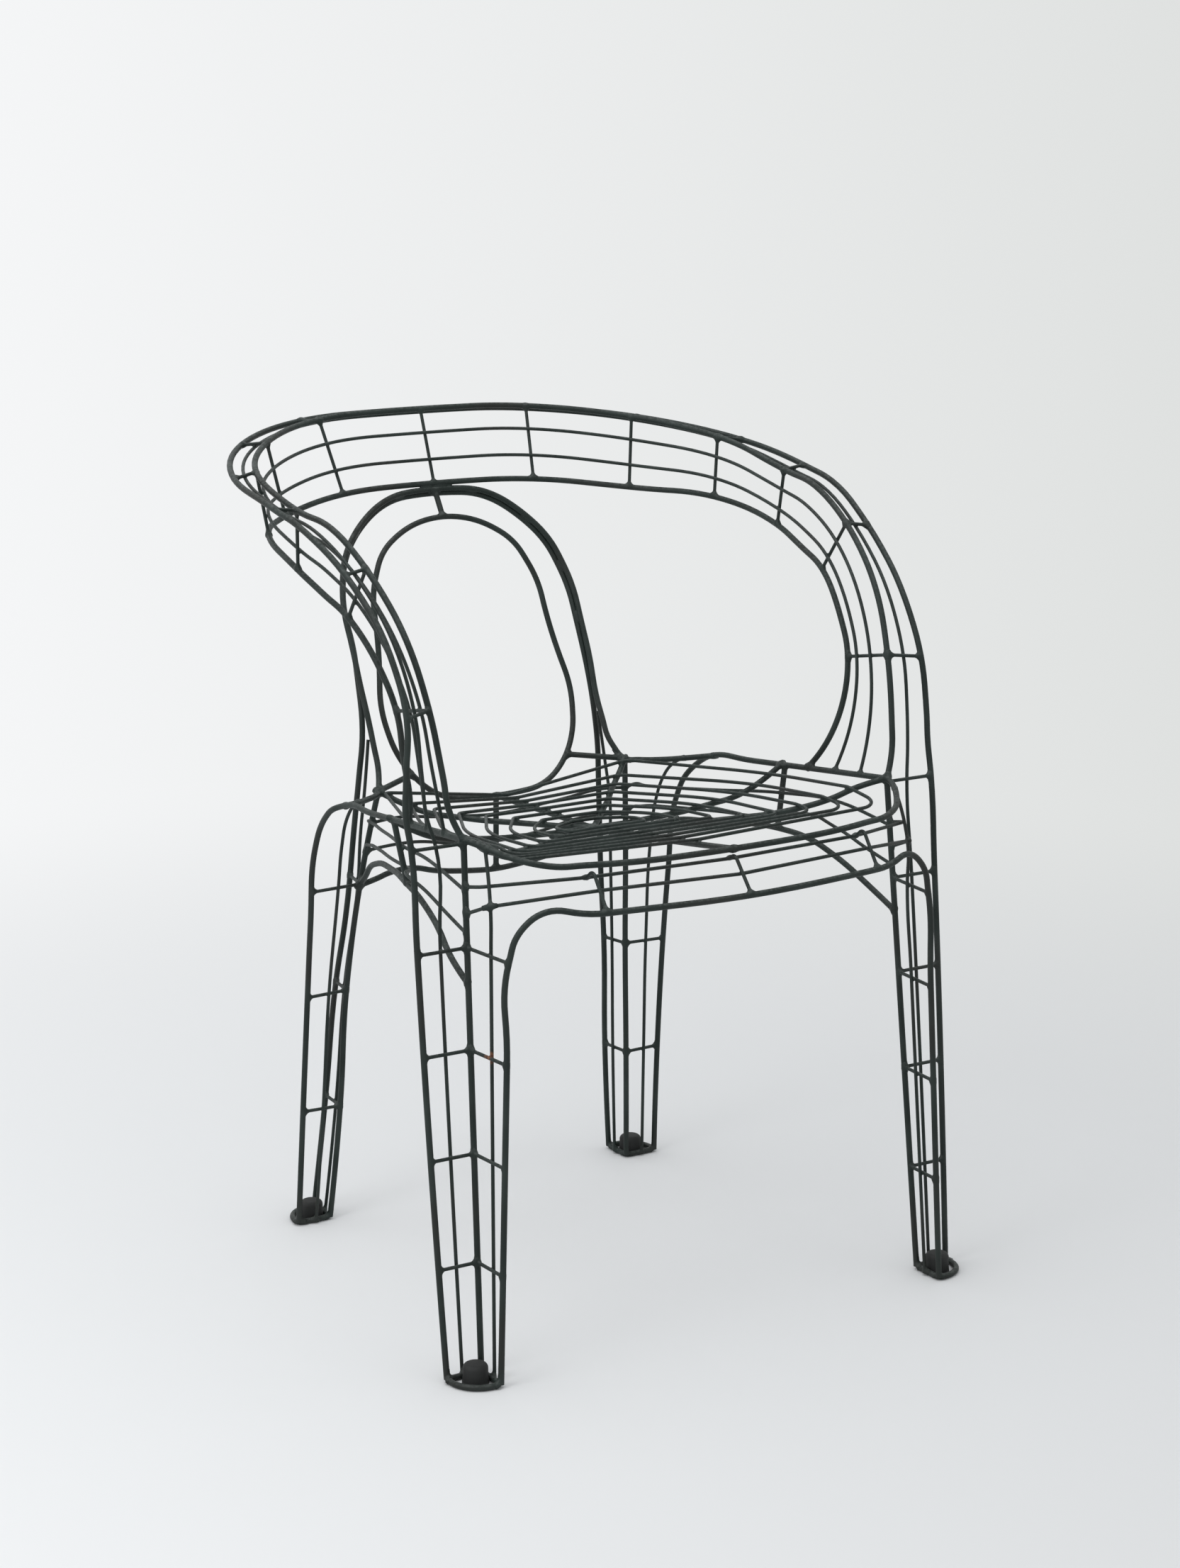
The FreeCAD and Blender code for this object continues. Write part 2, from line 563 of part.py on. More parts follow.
def seat_ring(index):
    """Ring of the seat, on top of its bars and spokes. Index 0 is the outer ring."""
    share = index / (len(RINGS_FRONT_Y) - 1)
    lift = V(0, 0, THIN_ON_THICK)
    on_spoke = at_value(front_spoke_points(), "x", RINGS_ON_FRONT_SPOKE_X[index]) + lift
    side = at_value(cross_bar_points(), "x", RINGS_ON_CROSS_BAR_X[index]) + lift
    on_rear_spoke = at_value(rear_spoke_points(), "y", RINGS_REAR_Y[index]) + lift
    ahead = at_value(length_bar_points(), "y", RINGS_FRONT_Y[index]) + lift
    behind = at_value(length_bar_points(), "y", RINGS_REAR_Y[index]) + lift
    front_radius = graded(FRONT_CORNER_RADII, share)
    rear_radius = graded(REAR_CORNER_RADII, share)
    sag = RING_CORNER_SAG * (on_spoke.z - ahead.z)
    front = V(on_spoke.x + graded(RING_CORNER_OUTWARDS, share), ahead.y, on_spoke.z - sag * (1 - share))
    rear = V(on_rear_spoke.x + graded(REAR_CORNER_OUTWARDS, share), behind.y, on_rear_spoke.z)
    side_points = [side, rear]
    side_radii = [graded(RING_SIDE_RADII, share), rear_radius]
    if on_spoke.y - front.y > front_radius * 3 / 2:
        side_points = [on_spoke] + side_points
        side_radii = [front_radius] + side_radii
    points = [front] + side_points + [behind] + [mirrored(point) for point in side_points[::-1]]
    radii = [front_radius] + side_radii + [RING_MIDDLE_RADIUS] + side_radii[::-1]
    return rod(bent_path(points + [mirrored(front), ahead], radii + [front_radius, RING_MIDDLE_RADIUS], True), THIN)


def graded(limits, share):
    """Size between that of the outer ring and that of the inner ring."""
    return limits[0] + (limits[1] - limits[0]) * share


def build_seat():
    add("seat_length_bar", [smooth_rod(length_bar_points(), THICK)], "front_rim_rod", "back_loop_rod", "rear_bar")
    add_pair("seat_front_spoke", [smooth_rod(from_length_bar(front_spoke_points()), THICK)],
             "seat_length_bar", "front_post_right", "side_rail_right", "inner_hoop_rod", "front_rim_rod")
    add_pair("seat_rear_spoke", [smooth_rod(from_length_bar(rear_spoke_points()), THICK)],
             "seat_length_bar", "rear_post_right", "back_arch_rod", "back_loop_links")
    spokes = ["seat_front_spoke_right", "seat_front_spoke_left", "seat_rear_spoke_right", "seat_rear_spoke_left"]
    start = between(SEAT_CENTRE, CROSS_BAR[0], cross_bar_start() / CROSS_BAR[0].x)
    rail_end = on_rail(SEAT_CENTRE_Y)
    end = rail_end + unit(CROSS_BAR[-1] - rail_end) * END_INSET
    add_both("seat_cross_bar", [smooth_rod([start] + CROSS_BAR + [end], THICK)], "side_rail_right")
    for index in range(len(RINGS_FRONT_Y)):
        add("seat_ring_" + str(index + 1), [seat_ring(index)], "seat_length_bar", "seat_cross_bar",
            "back_arch_rod", "back_loop_links", *spokes)


def strand(first, second, shares, lift, inside):
    """Thin rod between two rods, laid on the side of the bars that faces a point inside the chair."""
    middle = [between(a, b, share) for a, b, share in zip(first, second, shares)]
    result = []
    for index, point in enumerate(middle):
        before = middle[max(index - 1, 0)]
        after = middle[min(index + 1, len(middle) - 1)]
        out = unit((second[index] - first[index]).cross(after - before))
        if out.dot(inside - point) < 0:
            out = out * -1
        result.append(point + out * lift)
    return result


def build_hoop_mesh():
    """Thin strands and bars between the rods of the hoop."""
    inside = V(0, 0, SEAT_FRONT_HEIGHT)
    levels = [SIDE_BAR_AT_SEAT] + FRONT_BAR_LEVELS[::-1] + [FOOT_RING_HEIGHT]
    rows = [mirrored_row(row) for row in ROWS[1::-1]] + [BACK_ROW] + ROWS
    inner = [row[INNER] for row in rows] + [front_post_at(level) for level in levels]
    outer = [row[OUTER] for row in rows] + [side_edge_at(level) for level in levels]
    points = strand(inner, outer, [0.5] * len(inner), THIN_ON_THIN, inside)[2:]
    whole = both_sides(points[0], points[1:])
    add("hoop_middle_strand", [smooth_rod(whole, THIN)], "foot_ring_front_right", "foot_ring_front_left")

    rods = []
    ends = [on_rail(INNER_STRAND_END_Y), on_rail(OUTER_STRAND_END_Y)]
    for index, end in enumerate(ends):
        back = BACK_SHARES[index]
        arm = ARM_SHARES[index]
        bend = (back + arm) / 2
        shares = [back] * 8 + [bend] + [arm] * 3
        inner = [row[INNER] for row in rows]
        lower = [row[LOWER] for row in rows]
        points = strand(inner, lower, shares, THIN_ON_THIN, inside)[2:]
        rods.append(smooth_rod(both_sides(points[0], points[1:] + [end]), THIN))
    add("hoop_band_strands", rods, "side_rail_right", "side_rail_left")

    bars = [straight_rod(BACK_ROW[INNER], BACK_ROW[LOWER], THIN)]
    for row in BAR_ROWS:
        for side in (row, mirrored_row(row)):
            bars.append(straight_rod(side[OUTER], side[INNER], THIN))
            bars.append(straight_rod(side[INNER], side[LOWER], THIN))
    add("hoop_bars", bars, "outer_hoop_rod", "inner_hoop_rod", "lower_hoop_rod")


def mirrored_row(row):
    return tuple(mirrored(point) for point in row)


def build_leg_mesh():
    """Bars across both flanges of each leg, and a thin strand down the middle of each flange."""
    bars = []
    for level in FRONT_BAR_LEVELS:
        bars.append(straight_rod(front_post_at(level), side_edge_at(level), THIN))
        bars.append(straight_rod(front_post_at(level), face_edge_at(level), THIN))
    bars.append(straight_rod(front_post_at(SIDE_BAR_AT_SEAT), side_edge_at(SIDE_BAR_AT_SEAT), THIN))
    add_pair("front_leg_bars", bars, "front_post_right", "outer_hoop_rod", "front_arch_rod",
             "side_rail_right", "inner_hoop_rod", "front_rim_rod")

    levels = [FOOT_RING_HEIGHT] + FRONT_BAR_LEVELS
    post = [front_post_at(level) for level in levels]
    face = [face_edge_at(level) for level in levels]
    inside = V(0, 0, FRONT_BAR_LEVELS[0])
    points = strand(post, face, [0.5] * len(post), THIN_ON_THIN, inside)
    rim = at_value([FRONT_NODE] + RIM_SIDE, "z", RIM_SIDE[0].z)
    top = [V(points[-1].x, points[-1].y, LOWER_APRON_HEIGHT + THICK), rim]
    add_pair("front_leg_strand", [smooth_rod(points + top, THIN)], "foot_ring_front_right",
             "front_rim_rod", "front_apron_rods")

    post = rear_post_points()
    outer = rail_points()
    back = back_edge_points()
    bars = []
    for level in REAR_BAR_LEVELS:
        on_post = at_value(post, "z", level)
        bars.append(straight_rod(on_post, at_value(outer, "z", level), THIN))
        bars.append(straight_rod(on_post, at_value(back, "z", level), THIN))
    add_pair("rear_leg_bars", bars, "rear_post_right", "side_rail_right", "rear_leg_arch_rod", "side_arch_right",
             "rear_arch_rod")

    levels = [FOOT_RING_HEIGHT] + REAR_BAR_LEVELS
    post = [at_value(post, "z", level) for level in levels]
    outer = [at_value(outer, "z", level) for level in levels]
    back = [at_value(back, "z", level) for level in levels]
    middle = V(0, 0, levels[0])
    outer_strand = strand(post, outer, [0.5] * len(post), THIN_ON_THIN, middle)
    back_strand = strand(post, back, [0.5] * len(post), THIN_ON_THIN, middle)
    outer_strand = outer_strand + [V(175, 118, 385), V(176, 108, 409), V(177, 95, 425), SHOULDER[2] - V(4, -3, 0)]
    back_strand = back_strand + [V(140, 147, 385), V(134, 148, 430), V(128, 151, 476)]
    add_pair("rear_leg_strands", [smooth_rod(outer_strand, THIN), smooth_rod(back_strand, THIN)],
             "foot_ring_rear_right", "back_arch_rod", "side_rail_right", "rear_leg_arch_rod")


def centred(shapes):
    """Shapes moved along the chair's length so that its box is centred on the origin."""
    low = min(shape.BoundBox.YMin for shape in shapes.values())
    high = max(shape.BoundBox.YMax for shape in shapes.values())
    shift = V(0, -(low + high) / 2, 0)
    return {name: shape.translated(shift) for name, shape in shapes.items()}, shift


def main():
    os.makedirs("parts", exist_ok=True)
    build_feet()
    build_frame()
    build_backrest()
    build_aprons()
    build_seat()
    build_front_apron()
    build_hoop_mesh()
    build_leg_mesh()
    shapes, shift = centred(SHAPES)
    for name, shape in shapes.items():
        shape.exportStep("parts/" + name + ".step")
        print(name, len(shape.Solids), round(shape.Volume), shape.isValid())
    print("moved by", round(shift.y, 3))


main()
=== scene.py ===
import itertools
import math
import random

import bmesh
import bpy
import numpy as np
from mathutils import Euler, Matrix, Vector
from mathutils.bvhtree import BVHTree


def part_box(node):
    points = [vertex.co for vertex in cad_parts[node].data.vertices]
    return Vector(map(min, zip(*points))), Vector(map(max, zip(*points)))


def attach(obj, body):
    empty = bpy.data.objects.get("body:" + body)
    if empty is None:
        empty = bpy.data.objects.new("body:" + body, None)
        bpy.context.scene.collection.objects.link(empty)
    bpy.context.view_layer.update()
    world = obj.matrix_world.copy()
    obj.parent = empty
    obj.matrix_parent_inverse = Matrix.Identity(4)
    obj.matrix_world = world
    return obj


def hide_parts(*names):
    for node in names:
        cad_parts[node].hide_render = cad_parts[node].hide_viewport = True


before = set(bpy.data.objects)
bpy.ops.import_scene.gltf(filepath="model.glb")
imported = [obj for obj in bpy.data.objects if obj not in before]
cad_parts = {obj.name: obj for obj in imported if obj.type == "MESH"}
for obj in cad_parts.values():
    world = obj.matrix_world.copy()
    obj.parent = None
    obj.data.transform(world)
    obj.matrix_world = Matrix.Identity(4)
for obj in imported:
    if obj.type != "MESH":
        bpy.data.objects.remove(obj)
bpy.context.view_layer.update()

MM = 0.001

# Finishes. The rods are mild steel wire under a thin coat of matt anthracite paint, brushed
# and sprayed on in a workshop: slightly green in the dark, grey where the light grazes it.
PAINT = "#1c2522"
PAINT_WORN = "#313a37"
PAINT_BROWN = "#2b2826"
# The grey below is dust and painted top light: it lightens what faces up, where the light from above
# falls.
DUST_AND_TOP_LIGHT = "#6c716e"
RUST = "#8a5a3c"
RUST_DARK = "#4a3129"
RUBBER = "#161817"
RUBBER_SCUFF = "#2e302f"
# Painted light on the floor paper: lighter on the left, darker on the right, as the studio light falls
# off.
PAPER_LIT_LEFT = "#ebecec"
PAPER_SHADED_RIGHT = "#dfe0e0"
# Painted light on the backdrop: lighter on the left, darker on the right, as the studio light falls
# off.
BACKDROP_LIT_LEFT = "#f5f6f7"
BACKDROP_SHADED_RIGHT = "#dfe1e0"

# Settings that several nodes share, and the sockets of a colour mix
SOFT = {"interpolation_type": "SMOOTHSTEP"}
COLOURS = {"data_type": "RGBA"}
FIRST = 6
SECOND = 7
MIXED = 2

# Coat of paint. Noise scales are per metre.
PAINT_IOR = 1.5
PAINT_SPECULAR = 0.24
PAINT_ROUGHNESS_LOW = 0.38
PAINT_ROUGHNESS_HIGH = 0.66
PAINT_ROUGHNESS_SCALE = 100
PAINT_ROUGHNESS_DETAIL = 4
WORN_SCALE = 23
WORN_DETAIL = 3
WORN_LOW = 0.35
WORN_HIGH = 0.7
WORN_SHARE = 0.5
BROWN_SCALE = 10
BROWN_DETAIL = 1
BROWN_LOW = 0.48
BROWN_HIGH = 0.68
BROWN_SHARE = 0.45
DUST_SCALE = 310
DUST_DETAIL = 5
DUST_LOW = 0.3
DUST_HIGH = 0.75
# Dust and painted top light: how far a surface faces up sets how much lighter grey it gets.
TOP_LIGHT_AND_DUST_UP_LOW = 0.2
TOP_LIGHT_AND_DUST_UP_HIGH = 0.95
TOP_LIGHT_AND_DUST_SHARE = 0.36
PEEL_SCALE = 550
PEEL_DETAIL = 2
PEEL_HEIGHT = 0.035 * MM
PEEL_STRENGTH = 0.5
RUN_SCALE = 70
RUN_DETAIL = 1
RUN_HEIGHT = 0.10 * MM
RUN_STRENGTH = 0.6

# Rust at one joint where the paint has chipped
RUST_HEIGHT = 284 * MM
RUST_CORE = 1.5 * MM
RUST_EDGE = 7 * MM
RUST_SCALE = 330
RUST_DETAIL = 4
RUST_LOW = 0.35
RUST_HIGH = 0.6

# Rubber of the foot plugs
RUBBER_IOR = 1.52
RUBBER_ROUGHNESS = 0.72
RUBBER_SCALE = 830
RUBBER_DETAIL = 3
RUBBER_HEIGHT = 0.05 * MM
RUBBER_STRENGTH = 0.4
SCUFF_HEIGHT = 5 * MM
SCUFF_SCALE = 420
SCUFF_DETAIL = 5
SCUFF_LOW = 0.42
SCUFF_HIGH = 0.7
PLUG_RADIUS = 11 * MM
PLUG_FLARE = 0.8 * MM
PLUG_FLARE_HEIGHT = 7 * MM
PLUG_EDGE = 0.6 * MM
PLUG_DOME = 4.4 * MM
PLUG_CROWN = 0.5 * MM
PLUG_DOME_STEPS = 8
PLUG_WELD = 0.03 * MM
PLUG_SIDES = 48

# Weld beads at the joints of the rods. A bead's blend sets how far its metal spreads from the corner
# between the rods: further where a rod ends against another, less between thin rods that cross.
THICK_RADIUS = 2.75 * MM
THIN_RADIUS = 1.6 * MM
WELD_DISTANCE = 0.002 * MM
TOUCH = 0.45 * MM
SAMPLE_STEP = 1.2 * MM
CELL = 3 * MM
CELLS_ACROSS = 4096
AXIS_REACH = 12 * MM
MIDDLE_REACH = 4 * MM
END_SHARE = 0.3
END_OVERLAP = 0.8 * MM
BEAD_SPACING = 7 * MM
PLACE_DIGITS = 4
LONG_CONTACT = 34 * MM
STITCH_SPACING = 58 * MM
BEAD_REACH = 7.5 * MM
BEAD_BLEND = 3.4 * MM
BEAD_SPREAD = 0.25
BUTT_BLEND = 1.35
BEAD_ROUNDS = 3
BEAD_STEPS = 10
FLOOR_GAP = 0.2 * MM
BEAD_SINK = 0.2 * MM
BISECTIONS = 6
WELD_SEED = 7

# Parts of the chair that the welds are sorted by
HOOP_Z = 0.5
HOOP_X = 0.13
HOOP_Y = 0.24
LEG_Z = 0.33
SEAT_X = 0.19
SEAT_Y = (-0.24, 0.12)
SEAT_Z = 0.43

# Camera and stage
CAMERA_PLACE = (-1.55067, -2.54349, 1.13220)
CAMERA_TURN = (77.06, 0, -31.75)
CAMERA_LENS = 100.26
CAMERA_SENSOR = 36.0
FLOOR_RADIUS = 9.0
FLOOR_SIDES = 96
FLOOR_FADE_START = 0.5
FLOOR_FADE_END = 2.0
FLOOR_ROUGHNESS = 0.9
FLOOR_SPECULAR = 0.2
BACKDROP_ACROSS = (0.8504, -0.5262, 0.0)
BACKDROP_HALF = 0.18
SKY = "#f2f4f6"
SKY_STRENGTH = 0.80
LAMP = "#fdfdff"
OVERHEAD_PLACE = (-0.5, -0.1, 2.9)
OVERHEAD_TARGET = (0, 0, 0.3)
OVERHEAD_SIZE = 2.4
OVERHEAD_POWER = 20
SIDE_PLACE = (-2.6, -0.6, 1.9)
SIDE_TARGET = (0, 0, 0.45)
SIDE_SIZE = 1.6
SIDE_POWER = 20


def linear(code):
    """sRGB hex colour as linear red, green, blue and alpha."""
    channels = [int(code[i:i + 2], 16) / 255 for i in (1, 3, 5)]
    return [c / 12.92 if c <= 0.04045 else ((c + 0.055) / 1.055) ** 2.4 for c in channels] + [1.0]


def node(tree, kind, settings, inputs):
    """Adds a node with its settings. Each of its inputs is a value or the output that feeds it."""
    new = tree.nodes.new(kind)
    for name, value in settings.items():
        setattr(new, name, value)
    for socket, value in inputs.items():
        if isinstance(value, bpy.types.NodeSocket):
            tree.links.new(value, new.inputs[socket])
        else:
            new.inputs[socket].default_value = value
    return new


def material(name):
    """New material with its tree, shader and object coordinates."""
    new = bpy.data.materials.new(name)
    new.use_nodes = True
    tree = new.node_tree
    shader = tree.nodes["Principled BSDF"]
    place = node(tree, "ShaderNodeTexCoord", {}, {}).outputs["Object"]
    return new, tree, shader, place


def painted_steel(chip):
    """Matt anthracite paint on drawn steel wire. The eye sees a dark coat with cloudy patches, dust on
    what faces up with painted top light laid over it, a lighter grey where the light from above falls,
    fine orange peel, and rust round the one place where the paint has chipped."""
    new, tree, shader, place = material("anthracite_paint")
    clouds = node(tree, "ShaderNodeTexNoise", {},
                  {"Vector": place, "Scale": WORN_SCALE, "Detail": WORN_DETAIL})
    worn = node(tree, "ShaderNodeMapRange", SOFT,
                {"Value": clouds.outputs["Fac"], "From Min": WORN_LOW, "From Max": WORN_HIGH,
                 "To Max": WORN_SHARE})
    coat = node(tree, "ShaderNodeMix", COLOURS,
                {0: worn.outputs["Result"], FIRST: linear(PAINT), SECOND: linear(PAINT_WORN)})
    drifts = node(tree, "ShaderNodeTexNoise", {},
                  {"Vector": place, "Scale": BROWN_SCALE, "Detail": BROWN_DETAIL})
    brown = node(tree, "ShaderNodeMapRange", SOFT,
                 {"Value": drifts.outputs["Fac"], "From Min": BROWN_LOW, "From Max": BROWN_HIGH,
                  "To Max": BROWN_SHARE})
    tinted = node(tree, "ShaderNodeMix", COLOURS,
                  {0: brown.outputs["Result"], FIRST: coat.outputs[MIXED], SECOND: linear(PAINT_BROWN)})

    # Dust and painted top light: speckled grey laid on what faces up, lighter on the tops as light from
    # above would make them.
    surface = node(tree, "ShaderNodeNewGeometry", {}, {})
    facing = node(tree, "ShaderNodeSeparateXYZ", {}, {"Vector": surface.outputs["Normal"]})
    lit_and_settled = node(tree, "ShaderNodeMapRange", SOFT,
                   {"Value": facing.outputs["Z"], "From Min": TOP_LIGHT_AND_DUST_UP_LOW, "From Max": TOP_LIGHT_AND_DUST_UP_HIGH,
                    "To Max": TOP_LIGHT_AND_DUST_SHARE})
    specks = node(tree, "ShaderNodeTexNoise", {},
                  {"Vector": place, "Scale": DUST_SCALE, "Detail": DUST_DETAIL})
    strewn = node(tree, "ShaderNodeMapRange", SOFT,
                  {"Value": specks.outputs["Fac"], "From Min": DUST_LOW, "From Max": DUST_HIGH})
    dust_and_top_light = node(tree, "ShaderNodeMath", {"operation": "MULTIPLY"},
                {0: lit_and_settled.outputs["Result"], 1: strewn.outputs["Result"]})
    dusty_and_top_lit = node(tree, "ShaderNodeMix", COLOURS,
                 {0: dust_and_top_light.outputs["Value"], FIRST: tinted.outputs[MIXED], SECOND: linear(DUST_AND_TOP_LIGHT)})

    away = node(tree, "ShaderNodeVectorMath", {"operation": "DISTANCE"}, {0: place, 1: chip})
    chipped = node(tree, "ShaderNodeMapRange", SOFT,
                   {"Value": away.outputs["Value"], "From Min": RUST_EDGE, "From Max": RUST_CORE})
    grain = node(tree, "ShaderNodeTexNoise", {},
                 {"Vector": place, "Scale": RUST_SCALE, "Detail": RUST_DETAIL})
    flakes = node(tree, "ShaderNodeMapRange", SOFT,
                  {"Value": grain.outputs["Fac"], "From Min": RUST_LOW, "From Max": RUST_HIGH})
    rust = node(tree, "ShaderNodeMix", COLOURS,
                {0: flakes.outputs["Result"], FIRST: linear(RUST_DARK), SECOND: linear(RUST)})
    colour = node(tree, "ShaderNodeMix", COLOURS,
                  {0: chipped.outputs["Result"], FIRST: dusty_and_top_lit.outputs[MIXED],
                   SECOND: rust.outputs[MIXED]})
    tree.links.new(colour.outputs[MIXED], shader.inputs["Base Color"])

    sheen = node(tree, "ShaderNodeTexNoise", {},
                 {"Vector": place, "Scale": PAINT_ROUGHNESS_SCALE, "Detail": PAINT_ROUGHNESS_DETAIL})
    rough = node(tree, "ShaderNodeMapRange", {},
                 {"Value": sheen.outputs["Fac"], "To Min": PAINT_ROUGHNESS_LOW,
                  "To Max": PAINT_ROUGHNESS_HIGH})
    tree.links.new(rough.outputs["Result"], shader.inputs["Roughness"])

    pores = node(tree, "ShaderNodeTexNoise", {},
                 {"Vector": place, "Scale": PEEL_SCALE, "Detail": PEEL_DETAIL})
    peel = node(tree, "ShaderNodeBump", {},
                {"Height": pores.outputs["Fac"], "Strength": PEEL_STRENGTH, "Distance": PEEL_HEIGHT})
    waves = node(tree, "ShaderNodeTexNoise", {},
                 {"Vector": place, "Scale": RUN_SCALE, "Detail": RUN_DETAIL})
    runs = node(tree, "ShaderNodeBump", {},
                {"Height": waves.outputs["Fac"], "Strength": RUN_STRENGTH, "Distance": RUN_HEIGHT,
                 "Normal": peel.outputs["Normal"]})
    tree.links.new(runs.outputs["Normal"], shader.inputs["Normal"])
    shader.inputs["IOR"].default_value = PAINT_IOR
    shader.inputs["Specular IOR Level"].default_value = PAINT_SPECULAR
    return new


def moulded_rubber():
    """Black moulded rubber, matt, with a fine grain and grey scuffs near the floor."""
    new, tree, shader, place = material("moulded_rubber")
    split = node(tree, "ShaderNodeSeparateXYZ", {}, {"Vector": place})
    low = node(tree, "ShaderNodeMapRange", SOFT,
               {"Value": split.outputs["Z"], "From Min": SCUFF_HEIGHT, "From Max": 0})
    specks = node(tree, "ShaderNodeTexNoise", {},
                  {"Vector": place, "Scale": SCUFF_SCALE, "Detail": SCUFF_DETAIL})
    strewn = node(tree, "ShaderNodeMapRange", SOFT,
                  {"Value": specks.outputs["Fac"], "From Min": SCUFF_LOW, "From Max": SCUFF_HIGH})
    scuffs = node(tree, "ShaderNodeMath", {"operation": "MULTIPLY"},
                  {0: low.outputs["Result"], 1: strewn.outputs["Result"]})
    colour = node(tree, "ShaderNodeMix", COLOURS,
                  {0: scuffs.outputs["Value"], FIRST: linear(RUBBER), SECOND: linear(RUBBER_SCUFF)})
    tree.links.new(colour.outputs[MIXED], shader.inputs["Base Color"])
    grain = node(tree, "ShaderNodeTexNoise", {},
                 {"Vector": place, "Scale": RUBBER_SCALE, "Detail": RUBBER_DETAIL})
    bump = node(tree, "ShaderNodeBump", {},
                {"Height": grain.outputs["Fac"], "Strength": RUBBER_STRENGTH,
                 "Distance": RUBBER_HEIGHT})
    tree.links.new(bump.outputs["Normal"], shader.inputs["Normal"])
    shader.inputs["Roughness"].default_value = RUBBER_ROUGHNESS
    shader.inputs["IOR"].default_value = RUBBER_IOR
    return new


def plug_profile(height):
    """Half outline of a foot plug from its flat bottom to its domed top, as radius and height."""
    profile = [(0.0, 0.0), (PLUG_RADIUS - PLUG_EDGE, 0.0)]
    profile.append((PLUG_RADIUS + PLUG_FLARE, PLUG_EDGE))
    profile.append((PLUG_RADIUS + PLUG_FLARE / 2, PLUG_FLARE_HEIGHT / 2))
    profile.append((PLUG_RADIUS, PLUG_FLARE_HEIGHT))
    for step in range(PLUG_DOME_STEPS + 1):
        angle = math.pi / 2 * step / PLUG_DOME_STEPS
        reach = PLUG_RADIUS - PLUG_DOME + PLUG_DOME * math.cos(angle)
        profile.append((reach, height - PLUG_CROWN - PLUG_DOME + PLUG_DOME * math.sin(angle)))
    return profile + [(0.0, height)]


def build_plugs(rubber):
    """Moulded plugs with a flared foot and a domed top, pressed into the foot rings."""
    for name in sorted(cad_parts):
        if not name.startswith("foot_plug"):
            continue
        low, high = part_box(name)
        middle = (low + high) / 2
        shape = bmesh.new()
        corners = [shape.verts.new((radius, 0, height)) for radius, height in plug_profile(high.z)]
        edges = [shape.edges.new(pair) for pair in zip(corners, corners[1:])]
        bmesh.ops.spin(shape, geom=corners + edges, cent=(0, 0, 0), axis=(0, 0, 1), steps=PLUG_SIDES,
                       angle=2 * math.pi)
        bmesh.ops.remove_doubles(shape, verts=shape.verts, dist=PLUG_WELD)
        bmesh.ops.recalc_face_normals(shape, faces=shape.faces)
        bmesh.ops.translate(shape, verts=shape.verts, vec=(middle.x, middle.y, 0))
        mesh = bpy.data.meshes.new(name + "_moulded")
        shape.to_mesh(mesh)
        shape.free()
        mesh.shade_smooth()
        mesh.materials.append(rubber)
        piece = bpy.data.objects.new(name + "_moulded", mesh)
        bpy.context.scene.collection.objects.link(piece)
        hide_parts(name)
        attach(piece, "root")


def dress_nodes(paint):
    """Gives every node of the frame its finish and smooth shading."""
    rubber = moulded_rubber()
    build_plugs(rubber)
    for name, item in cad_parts.items():
        finish = rubber if name.startswith("foot_plug") else paint
        item.data.materials.clear()
        item.data.materials.append(finish)
        item.data.shade_smooth()


class Rod:
    """One solid of the frame, with points sampled along the edges of its mesh."""

    def __init__(self, name, points, faces):
        self.name = name
        self.points = points
        self.faces = faces
        self.samples = list(points)
        edges = {tuple(sorted(pair)) for face in faces for pair in zip(face, face[1:] + face[:1])}
        for first, second in sorted(edges):
            start = points[first]
            end = points[second]
            count = int((end - start).length / SAMPLE_STEP)
            self.samples.extend(start.lerp(end, step / count) for step in range(1, count))
        self.cloud = np.array(self.samples)

    def near(self, centre):
        """The rod as a straight round bar near a joint: a point on its axis, the axis, the radius,
        and whether it ends there. The axis then points away from the joint."""
        away = self.cloud - centre
        close = self.cloud[(away * away).sum(1) < AXIS_REACH ** 2]
        _, _, directions = np.linalg.svd(close - close.mean(0), full_matrices=False)
        axis = directions[0]
        along = (close - centre) @ axis
        ends = abs(along.mean()) > END_SHARE * AXIS_REACH
        if along.mean() < 0:
            axis = -axis
        middle = close[abs(along) < MIDDLE_REACH].mean(0)
        off = (close - middle) - np.outer((close - middle) @ axis, axis)
        width = np.median(np.linalg.norm(off, axis=1))
        radius = THICK_RADIUS if width > (THICK_RADIUS + THIN_RADIUS) / 2 else THIN_RADIUS
        return middle, axis, radius, ends


def solids_of(name, item):
    """Rods of a node, one for each loose part of its mesh."""
    shape = bmesh.new()
    shape.from_mesh(item.data)
    bmesh.ops.remove_doubles(shape, verts=shape.verts, dist=WELD_DISTANCE)
    shape.verts.ensure_lookup_table()
    seen = set()
    rods = []
    for start in shape.verts:
        if start.index in seen:
            continue
        group = [start]
        seen.add(start.index)
        for vertex in group:
            for edge in vertex.link_edges:
                other = edge.other_vert(vertex)
                if other.index not in seen:
                    seen.add(other.index)
                    group.append(other)
        order = {vertex.index: i for i, vertex in enumerate(group)}
        faces = {face for vertex in group for face in vertex.link_faces}
        faces = sorted([order[v.index] for v in face.verts] for face in faces)
        rods.append(Rod(name, [vertex.co.copy() for vertex in group], faces))
    shape.free()
    return rods


